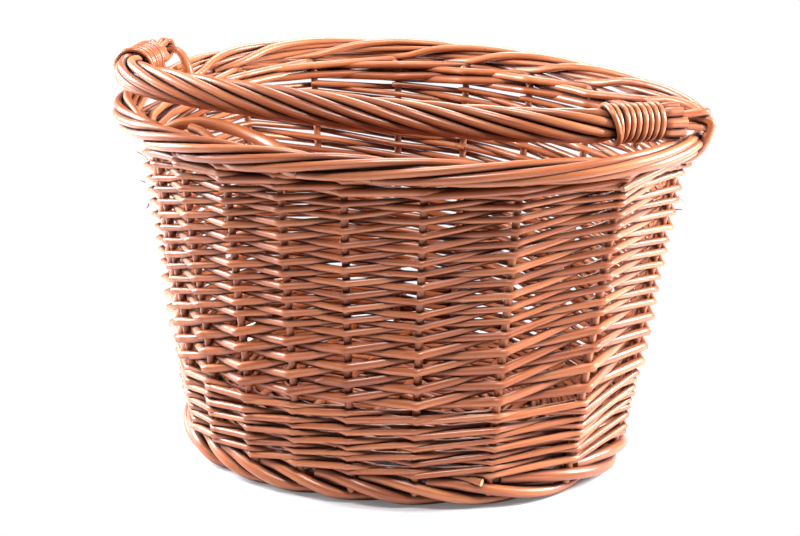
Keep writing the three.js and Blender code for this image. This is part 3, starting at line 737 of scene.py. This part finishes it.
# Foot border
# Thicker rods, pushed in beside the stakes once the basket is turned over and rolled
# round the foot in the same way. The basket stands on them, and they take the wear.
# At the front right the cut end of one shows under the wale.
FOOT_HEIGHT = 12.0
FOOT_OFFSET = -3.2
FOOT_HALF = (12.8, 12.5)
FOOT_ROD_RADIUS = 4.4
FOOT_ROD_TAPER = (1.0, 0.92)
FOOT_ROD_STEPS = 64
FOOT_TURNS = np.array([76, 66, 42, 14, -16, -46, -78, -110, -145, -180])
FOOT_STAKES = (0.15, 3.1)
FOOT_START_STRAYS = 0.12
FOOT_SIZE_STRAYS = 0.04
OVER_FLOOR = 0.15
FOOT_FILLER_RADIUS = 4.2
FOOT_STUB = ((0.851, -1.0, 23.0), (0.862, 3.0, 23.0), (0.871, 9.5, 22.2))
FOOT_STUB_RADIUS = 2.7
FOOT_STUB_STEPS = 12
foot_rods = []
for number in range(STAKES):
    radius = FOOT_ROD_RADIUS * chance.normal(1, FOOT_SIZE_STRAYS)
    turn = np.radians(FOOT_TURNS + chance.normal(0, TURN_STRAYS))
    start = FOOT_STAKES[0] + chance.normal(0, FOOT_START_STRAYS)
    share = stake_share(number + np.linspace(start, FOOT_STAKES[1], len(turn)))
    across = FOOT_OFFSET + (FOOT_HALF[0] - radius) * np.cos(turn)
    height = FOOT_HEIGHT + (FOOT_HALF[1] - radius) * np.sin(turn)
    height = np.maximum(height, radius + OVER_FLOOR)
    path = wall(*smooth_path(np.stack([share, across, height], 1), FOOT_ROD_STEPS).T)
    foot_rods.append((path, np.linspace(*FOOT_ROD_TAPER, len(path)) * radius))
filler = wall(np.linspace(0, 1, ROUND_STEPS), FOOT_OFFSET, FOOT_HEIGHT)
foot_rods.append((filler, np.full(ROUND_STEPS, FOOT_FILLER_RADIUS)))
stub = wall(*smooth_path(FOOT_STUB, FOOT_STUB_STEPS).T)
foot_rods.append((stub, np.full(FOOT_STUB_STEPS, FOOT_STUB_RADIUS)))
lay_rods(
    "foot_border_rods", foot_rods, "basket", ROD_SKIN, ["foot_border"],
    sides=14, unevenness=0.5, seed=6,
)

# Base
# Three sticks along and five across are crossed and bound, and rods are woven round
# them in ovals until the base is wide enough to take the stakes.
BASE_MIDDLE = 31.5
BASE_EDGE_OFFSET = -9.4
BASE_EDGE_STEPS = 241
BASE_ROD_RADIUS = 2.5
BASE_ROD_CLEARANCE = 0.2
BASE_ROD_SWING = 2.4
BASE_SIZE_STRAYS = 0.04
LONG_STICKS_Y = (-36.0, 0.0, 36.0)
LONG_STICKS_HEIGHT = 27.5
CROSS_STICKS_X = (-92.0, -46.0, 0.0, 46.0, 92.0)
CROSS_STICKS_HEIGHT = 35.5
BASE_STICK_RADIUS = 3.2
BASE_STICK_STEPS = 40
CENTRE_LINE = ((-78.0, -15.0), (56.0, -15.0))
MIDDLE_ROD_STEPS = 20
stick_full = np.full(BASE_STICK_STEPS, 1.0)
sticks = []
for i, y in enumerate(LONG_STICKS_Y):
    low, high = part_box(f"base_stick_long_{i + 1}")
    x = np.linspace(low.x / MM, high.x / MM, BASE_STICK_STEPS)
    path = np.stack([x, stick_full * y, stick_full * LONG_STICKS_HEIGHT], 1)
    sticks.append((path, stick_full * BASE_STICK_RADIUS))
for i, x in enumerate(CROSS_STICKS_X):
    low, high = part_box(f"base_stick_cross_{i + 1}")
    y = np.linspace(low.y / MM, high.y / MM, BASE_STICK_STEPS)
    path = np.stack([stick_full * x, y, stick_full * CROSS_STICKS_HEIGHT], 1)
    sticks.append((path, stick_full * BASE_STICK_RADIUS))
lay_rods(
    "base_sticks", sticks, "basket", ROD_SKIN,
    [f"base_stick_long_{i + 1}" for i in range(len(LONG_STICKS_Y))]
    + [f"base_stick_cross_{i + 1}" for i in range(len(CROSS_STICKS_X))],
    sides=12, unevenness=0.3, seed=7,
)

share = np.linspace(0, 1, BASE_EDGE_STEPS)[:-1]
edge = wall(share, BASE_EDGE_OFFSET - BASE_ROD_RADIUS, BASE_MIDDLE)[:, :2]
middle = np.stack([np.clip(edge[:, 0], CENTRE_LINE[0][0], CENTRE_LINE[1][0]),
                   np.full(len(edge), CENTRE_LINE[0][1])], 1)
reach = np.hypot(*(edge - middle).T).max()
rings = int(reach / (2 * BASE_ROD_RADIUS + BASE_ROD_CLEARANCE))
base_rods = []
for ring in range(rings):
    flat = edge + (middle - edge) * (ring / rings)
    flat = np.concatenate([flat, flat[:1]])
    crossed = np.zeros(len(flat))
    for fixed, lines in ((0, CROSS_STICKS_X), (1, LONG_STICKS_Y)):
        for line in lines:
            side = flat[:, fixed] - line
            crossed[1:] += (side[:-1] * side[1:] < 0)
    knots = np.concatenate([[0], np.flatnonzero(crossed), [len(flat) - 1]])
    up = np.where(np.arange(len(knots)) % 2 == ring % 2, 1.0, -1.0)
    swing = np.interp(np.arange(len(flat)), knots, up)
    height = BASE_MIDDLE + BASE_ROD_SWING * np.sin(swing * np.pi / 2)
    path = np.concatenate([flat, height[:, None]], 1)
    radius = BASE_ROD_RADIUS * chance.normal(1, BASE_SIZE_STRAYS)
    base_rods.append((path, np.full(len(path), radius)))
middle_rod = smooth_path([(*end, BASE_MIDDLE) for end in CENTRE_LINE], MIDDLE_ROD_STEPS)
base_rods.append((middle_rod, np.full(MIDDLE_ROD_STEPS, BASE_ROD_RADIUS)))
lay_rods(
    "base_weave_rods", base_rods, "basket", ROD_SKIN, ["base_weave"],
    sides=8, unevenness=0.4, seed=8,
)

# Handle
# Eight rods are roped round a core rod into a bow. The thin neck at each end is bound
# with a finer rod, beyond which the bundle's cut ends stand out. The hinge line runs
# through the loops at the two ends.
RIM_TOP = 263.6
HINGE_LEFT = np.array([-218.0, 6.0, RIM_TOP + 11.9])
HINGE_RIGHT = np.array([218.0, -6.0, RIM_TOP + 6.7])
BOW_RAISED = math.radians(3.3)
BOW_LEFT = ((7.1, 21.3), (13.6, 42.7), (19.6, 64), (25.1, 83), (43.1, 118))
BOW_MIDDLE = ((-0.293, 134), (0.303, 113))
BOW_RIGHT = ((92.1, 92), (60.1, 70), (45.1, 52.5), (30.1, 35), (15.1, 17.5))
BOW_STEPS = 2000
hinge_middle = (HINGE_LEFT + HINGE_RIGHT) / 2
hinge_half = np.linalg.norm(HINGE_RIGHT - HINGE_LEFT) / 2
hinge_along = (HINGE_RIGHT - HINGE_LEFT) / (2 * hinge_half)
hinge_forward = np.cross(hinge_along, (0, 0, 1))
hinge_forward = hinge_forward / np.linalg.norm(hinge_forward)
hinge_up = np.cross(hinge_forward, hinge_along)
bow_forward = hinge_forward * math.cos(BOW_RAISED) + hinge_up * math.sin(BOW_RAISED)
bow_up = np.cross(bow_forward, hinge_along)


def b_spline(controls, steps):
    """A clamped cubic B-spline, which starts and ends at its first and last controls."""
    controls = np.asarray(controls, float)
    spans = len(controls) - 3
    knots = np.concatenate([[0] * 3, np.arange(spans + 1), [spans] * 3]).astype(float)
    t = np.linspace(0, spans - 1e-9, steps)
    basis = [((knots[i] <= t) & (t < knots[i + 1])).astype(float) for i in range(len(knots) - 1)]
    for degree in (1, 2, 3):
        raised = []
        for i in range(len(basis) - 1):
            left = knots[i + degree] - knots[i]
            right = knots[i + degree + 1] - knots[i + 1]
            value = np.zeros(steps)
            if left > 0:
                value += (t - knots[i]) / left * basis[i]
            if right > 0:
                value += (knots[i + degree + 1] - t) / right * basis[i + 1]
            raised.append(value)
        basis = raised
    return sum(weight[:, None] * point for weight, point in zip(basis, controls))


bow_places = (
    [(-hinge_half, 0)]
    + [(inward - hinge_half, forward) for inward, forward in BOW_LEFT]
    + [(part * hinge_half, forward) for part, forward in BOW_MIDDLE]
    + [(hinge_half - inward, forward) for inward, forward in BOW_RIGHT]
    + [(hinge_half, 0)]
)
bow = b_spline(
    [hinge_middle + hinge_along * along + bow_forward * forward for along, forward in bow_places],
    BOW_STEPS,
)
bow_travelled = np.concatenate([[0], np.cumsum(np.linalg.norm(np.diff(bow, axis=0), axis=1))])
BOW_LENGTH = bow_travelled[-1]
bow_way = np.gradient(bow, axis=0)
bow_way = bow_way / np.linalg.norm(bow_way, axis=1)[:, None]


def round_bow(distance, angle, orbit):
    """Points round the bow at distances from its left end, angles and orbits."""
    middle = np.stack([np.interp(distance, bow_travelled, bow[:, k]) for k in range(3)], -1)
    way = np.stack([np.interp(distance, bow_travelled, bow_way[:, k]) for k in range(3)], -1)
    inward = np.cross(bow_up, way)
    inward = inward / np.linalg.norm(inward, axis=-1)[..., None]
    orbit = np.asarray(orbit)[..., None]
    return middle + orbit * (np.cos(angle)[..., None] * inward + np.sin(angle)[..., None] * bow_up)


ROPE_RODS = 8
ROPE_LAY = 235.0
ROPE_STEPS = 180
ROPE_ENDS = (36.0, 20.0)
ROPE_END_STRAYS = ((-3, 2), (-2, 3))
ROPE_ANGLE_STRAYS = 0.05
ROPE_ANGLE_KNOTS = 9
ROPE_SIZE_STRAYS = 0.03
GRIP_ORBIT, GRIP_ROD_RADIUS = 8.9, 3.1
NECK_ORBIT, NECK_ROD_RADIUS = 6.9, 2.6
STUB_ORBIT, STUB_ROD_RADIUS = 9.5, 3.5
STUB_TO_NECK = (-4.5, -0.5)
NECK_TO_GRIP = 16.0
WANDER = 0.25
WANDER_LENGTH = 23.0
WANDER_SHIFT = 2.1
BINDING_STARTS = (47.0, 36.0)
BINDING_TURNS = 7
BINDING_PITCH = 4.55
BINDING_LENGTH = BINDING_TURNS * BINDING_PITCH
neck_left = BINDING_STARTS[0] + BINDING_LENGTH
neck_right = BOW_LENGTH - BINDING_STARTS[1] - BINDING_LENGTH
rope = []
for rod in range(ROPE_RODS):
    start = ROPE_ENDS[0] + chance.uniform(*ROPE_END_STRAYS[0])
    end = BOW_LENGTH - ROPE_ENDS[1] + chance.uniform(*ROPE_END_STRAYS[1])
    distance = np.linspace(start, end, ROPE_STEPS)
    from_end = np.where(distance < BOW_LENGTH / 2, distance - BINDING_STARTS[0],
                        BOW_LENGTH - BINDING_STARTS[1] - distance)
    in_neck = eased(from_end, *STUB_TO_NECK)
    in_grip = eased(from_end, BINDING_LENGTH, BINDING_LENGTH + NECK_TO_GRIP)
    orbit = STUB_ORBIT + (NECK_ORBIT - STUB_ORBIT) * in_neck
    orbit = orbit + (GRIP_ORBIT - NECK_ORBIT) * in_grip
    thick = STUB_ROD_RADIUS + (NECK_ROD_RADIUS - STUB_ROD_RADIUS) * in_neck
    thick = thick + (GRIP_ROD_RADIUS - NECK_ROD_RADIUS) * in_grip
    laid = np.clip(distance, neck_left, neck_right) - neck_left
    sway = chance.normal(0, ROPE_ANGLE_STRAYS, ROPE_ANGLE_KNOTS)
    angle = 2 * np.pi * (rod / ROPE_RODS + laid / ROPE_LAY)
    swayed_at = np.linspace(start, end, ROPE_ANGLE_KNOTS)
    angle = angle + np.interp(distance, swayed_at, sway) * in_grip
    orbit = orbit + WANDER * np.sin(distance / WANDER_LENGTH + rod * WANDER_SHIFT)
    thick = thick * chance.normal(1, ROPE_SIZE_STRAYS)
    rope.append((round_bow(distance, angle, orbit), thick))
lay_rods(
    "handle_rope_rods", rope, "handle", ROD_SKIN, ["handle_rope"],
    sides=14, unevenness=0.4, seed=9,
)

# Handle core and its eyes
# The rod inside the rope. At both ends thinner rods are turned round the loop's top and
# laid back into the bundle, which makes the eyes that the handle swings on.
CORE_RADIUS = 5.2
CORE_INSET = 14.0
CORE_STEPS = 120
EYE_ORBIT = 5.9
EYE_ROD_RADIUS = 2.35
EYE_TURN = 115
EYE_TURN_STEPS = 15
EYE_LEGS = (26.0, 30.0)
EYE_LEGS_APART = 2.6
EYE_STRANDS = (-2.2, 2.2)
STRANDS_MEET = 0.3
distance = np.linspace(CORE_INSET, BOW_LENGTH - CORE_INSET, CORE_STEPS)
nothing = np.zeros(CORE_STEPS)
core = [(round_bow(distance, nothing, nothing), np.full(CORE_STEPS, CORE_RADIUS))]
for hinge, inward in ((HINGE_LEFT, EYE_LEGS[0]), (HINGE_RIGHT, BOW_LENGTH - EYE_LEGS[1])):
    far = round_bow(np.array([inward]), nothing[:1], nothing[:1])[0]
    way = far - hinge
    way = way - hinge_along * np.dot(way, hinge_along)
    way = way / np.linalg.norm(way)
    over = np.cross(hinge_along, way)
    turn = np.radians(np.linspace(-EYE_TURN, EYE_TURN, EYE_TURN_STEPS))
    ring = [hinge - EYE_ORBIT * (way * math.cos(a) + over * math.sin(a)) for a in turn]
    legs = [far + over * side * EYE_LEGS_APART for side in (1, -1)]
    for strand in EYE_STRANDS:
        first, last = (leg + hinge_along * strand * STRANDS_MEET for leg in legs)
        keys = [first] + [place + hinge_along * strand for place in ring] + [last]
        path = smooth_path(keys, SINGLE_ROD_STEPS)
        core.append((path, np.full(SINGLE_ROD_STEPS, EYE_ROD_RADIUS)))
lay_rods(
    "handle_core_rods", core, "handle", ROD_SKIN, ["handle_core"],
    sides=12, unevenness=0.3, seed=10,
)

# Handle bindings
# A thin rod wound seven times round each neck, tight enough to bite. Its end goes on
# round the bundle in a looser turn that fans out over the top towards the grip.
BINDING_ROD_RADIUS = 2.15
BINDING_ROD_TAPER = (1.04, 0.1)
BINDING_ORBIT = NECK_ORBIT + NECK_ROD_RADIUS + BINDING_ROD_RADIUS
BINDING_STEPS_A_TURN = 34
BINDING_FIRST_TURN = -0.15
BINDING_ANGLE = 1.0
BINDING_WANDER = 0.3
BINDING_WANDERS = 2.3
FAN_TURNS = 1.75
FAN_REACH = 9.0
FAN_EARLY = 0.4
FAN_LIFT = 1.7
for side, name, node in ((0, "binding_left_rod", "handle_binding_left"),
                         (1, "binding_right_rod", "handle_binding_right")):
    all_turns = BINDING_TURNS + FAN_TURNS
    turns = np.linspace(BINDING_FIRST_TURN, all_turns, int(all_turns * BINDING_STEPS_A_TURN))
    fanned = np.clip(turns - BINDING_TURNS + FAN_EARLY, 0, FAN_TURNS)
    over_top = 0.5 - 0.5 * np.cos(2 * np.pi * (turns + BINDING_ANGLE / (2 * np.pi) + 0.25))
    step = np.minimum(turns, BINDING_TURNS) * BINDING_PITCH
    step = step + FAN_REACH * over_top * fanned / FAN_TURNS
    distance = BINDING_STARTS[0] + step if side == 0 else BOW_LENGTH - BINDING_STARTS[1] - step
    orbit = BINDING_ORBIT + BINDING_WANDER * np.sin(turns * BINDING_WANDERS)
    orbit = orbit + FAN_LIFT * np.minimum(fanned, 1)
    path = round_bow(distance, 2 * np.pi * turns + BINDING_ANGLE, orbit)
    taper = BINDING_ROD_TAPER[0] - BINDING_ROD_TAPER[1] * turns / BINDING_TURNS
    lay_rods(
        name, [(path, BINDING_ROD_RADIUS * taper)], "handle", ROD_SKIN, [node],
        sides=10, unevenness=0.35, seed=11 + side,
    )

# Handle loops
# At each end a rod is pushed down inside the wall, under the border and up outside
# it into a ring, which the handle's eye swings on.
LOOP_ROD_RADIUS = 3.2
LOOP_THICKER = 0.8
LOOP_THICKER_BELOW = (5.0, 14.0)
LOOP_LOW = 239.7
# The keys go round once and three of them again; the steps kept are one whole round.
LOOP_STEPS = 137
LOOP_ROUND = slice(8, 129)
for side, name, node in ((-1, "loop_left_rod", "handle_loop_left"),
                         (1, "loop_right_rod", "handle_loop_right")):
    hinge_height = HINGE_LEFT[2] if side < 0 else HINGE_RIGHT[2]
    rise = hinge_height - HINGE_RIGHT[2]
    # Each key is a distance from the hinge line's middle and a height.
    keys = (
        (208.5, hinge_height), (214.0, hinge_height), (221.5, hinge_height),
        (225.0, hinge_height - 2.2), (224.6, hinge_height - 7.0 - rise), (221.0, 254.0),
        (216.6, 247.4), (211.0, 242.6), (206.0, LOOP_LOW + 1.0), (200.5, LOOP_LOW + 0.8),
        (196.6, 243.2), (195.6, 248.0), (196.2, 254.0), (198.6, 261.0 + rise * 0.4),
        (202.8, 267.0 + rise * 0.85),
    )
    ring = smooth_path(np.array(keys + keys[:3]), LOOP_STEPS)[LOOP_ROUND]
    thicker = LOOP_THICKER * eased(hinge_height - ring[:, 1], *LOOP_THICKER_BELOW)
    spots = hinge_middle + hinge_along * side * ring[:, :1]
    spots = spots + hinge_up * (ring[:, 1:] - hinge_height)
    lay_rods(
        name, [(spots, LOOP_ROD_RADIUS + thicker)], "basket", ROD_SKIN, [node],
        sides=14, unevenness=0.4, seed=13,
    )

# Studio
# A white table that runs back into a white backdrop; only near the basket does it show
# light and shadow. Two strong lamps at the sides overexpose the basket's ends, and two
# weaker ones light it from behind and from the front.
TABLE_WHITE = "#DEDDE2"
FLOOR_HALF = 6000.0
NEAR_BASKET = (0.1, 0.27)
NEAR_SHAPE = (0.86, 1.0, 0.0)
TABLE_ROUGHNESS = 0.55
TABLE_SPECULAR = 0.25
WHITE = (1, 1, 1, 1)
BACKDROP_IN_GLOSS = 0.3
BACKDROP_LIGHT = 0.04
LAMPS_AIM = (0.0, 0.0, 130.0)
# For each lamp: its place as the camera sees it, its size, and its power in watts.
LAMPS = (
    ("left softbox", (-1000, 330, 560), 500, 40),
    ("right softbox", (1000, -60, 560), 420, 37),
    ("back softbox", (100, 900, 1150), 600, 18),
    ("front fill", (-100, -620, 1500), 300, 19),
)
white_table = bpy.data.materials.new("white table")
white_table.use_nodes = True
table_tree = white_table.node_tree
table_skin = table_tree.nodes["Principled BSDF"]
table_skin.inputs["Base Color"].default_value = linear(TABLE_WHITE)
table_skin.inputs["Roughness"].default_value = TABLE_ROUGHNESS
table_skin.inputs["Specular IOR Level"].default_value = TABLE_SPECULAR
place = add(table_tree, "ShaderNodeTexCoord", {}, {}).outputs["Object"]
shaped = add(table_tree, "ShaderNodeVectorMath", {"operation": "MULTIPLY"}, {
    0: place, 1: NEAR_SHAPE,
}).outputs[0]
reach = add(table_tree, "ShaderNodeVectorMath", {"operation": "LENGTH"}, {
    0: shaped,
}).outputs["Value"]
away = add(table_tree, "ShaderNodeMapRange", {"interpolation_type": "SMOOTHSTEP"}, {
    "Value": reach, "From Min": NEAR_BASKET[0], "From Max": NEAR_BASKET[1],
    "To Min": 0.0, "To Max": 1.0,
}).outputs[0]
seen = add(table_tree, "ShaderNodeLightPath", {}, {}).outputs["Is Camera Ray"]
lit = add(table_tree, "ShaderNodeMath", {"operation": "MULTIPLY"}, {0: away, 1: seen}).outputs[0]
glow = add(table_tree, "ShaderNodeEmission", {}, {
    "Color": WHITE, "Strength": 1.0,
}).outputs[0]
both = add(table_tree, "ShaderNodeMixShader", {}, {
    0: lit, 1: table_skin.outputs[0], 2: glow,
}).outputs[0]
table_tree.links.new(both, table_tree.nodes["Material Output"].inputs["Surface"])
far = FLOOR_HALF * MM
floor_mesh = bpy.data.meshes.new("floor")
floor_mesh.from_pydata(
    [(-far, -far, 0), (far, -far, 0), (far, far, 0), (-far, far, 0)], [], [(0, 1, 2, 3)],
)
floor_mesh.materials.append(white_table)
floor = bpy.data.objects.new("floor", floor_mesh)
bpy.context.scene.collection.objects.link(floor)

backdrop = bpy.data.worlds.new("white backdrop")
backdrop.use_nodes = True
bpy.context.scene.world = backdrop
tree = backdrop.node_tree
tree.nodes.clear()
ray = add(tree, "ShaderNodeLightPath", {}, {}).outputs
level = add(tree, "ShaderNodeMath", {"operation": "MULTIPLY_ADD"}, {
    0: ray["Is Glossy Ray"], 1: BACKDROP_IN_GLOSS, 2: BACKDROP_LIGHT,
}).outputs[0]
level = add(tree, "ShaderNodeMath", {"operation": "MAXIMUM"}, {
    0: ray["Is Camera Ray"], 1: level,
}).outputs[0]
white = add(tree, "ShaderNodeBackground", {}, {
    "Color": WHITE, "Strength": level,
}).outputs[0]
add(tree, "ShaderNodeOutputWorld", {}, {"Surface": white})

for name, stands, size, power in LAMPS:
    lamp = bpy.data.lights.new(name, "AREA")
    lamp.size = size * MM
    lamp.energy = power
    holder = bpy.data.objects.new(name, lamp)
    bpy.context.scene.collection.objects.link(holder)
    holder.location = studio(*stands)
    aim(holder, studio(*LAMPS_AIM))

bpy.context.scene.view_settings.view_transform = "Standard"
